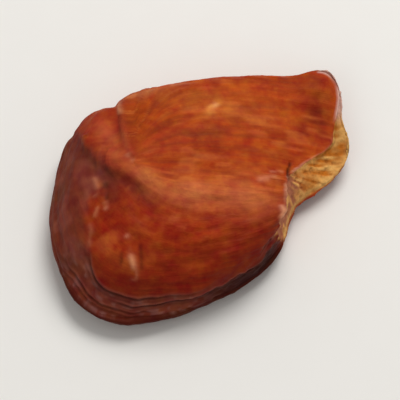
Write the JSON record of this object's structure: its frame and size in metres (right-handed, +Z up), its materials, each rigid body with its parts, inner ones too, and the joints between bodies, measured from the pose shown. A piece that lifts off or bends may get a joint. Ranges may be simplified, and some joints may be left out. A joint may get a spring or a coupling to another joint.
{
  "type": "bitter almond seed",
  "caption": "Dried bitter almond seed of a winged fruit tree: rounded corky nut end, flat fibrous facet, and a torn porous edge where the wing was snapped off.",
  "frame": {"origin": "middle of the bounding box's underside, on the plane the seed rests on", "axes": "+X along the coat's fibres towards the torn wing end, +Y towards the straight back edge, +Z up"},
  "size_m": [0.0274, 0.0252, 0.008],
  "materials": {
    "seed_coat": "satin"
  },
  "bodies": {
    "root": {"seed": "seed_coat"}
  },
  "joints": []
}
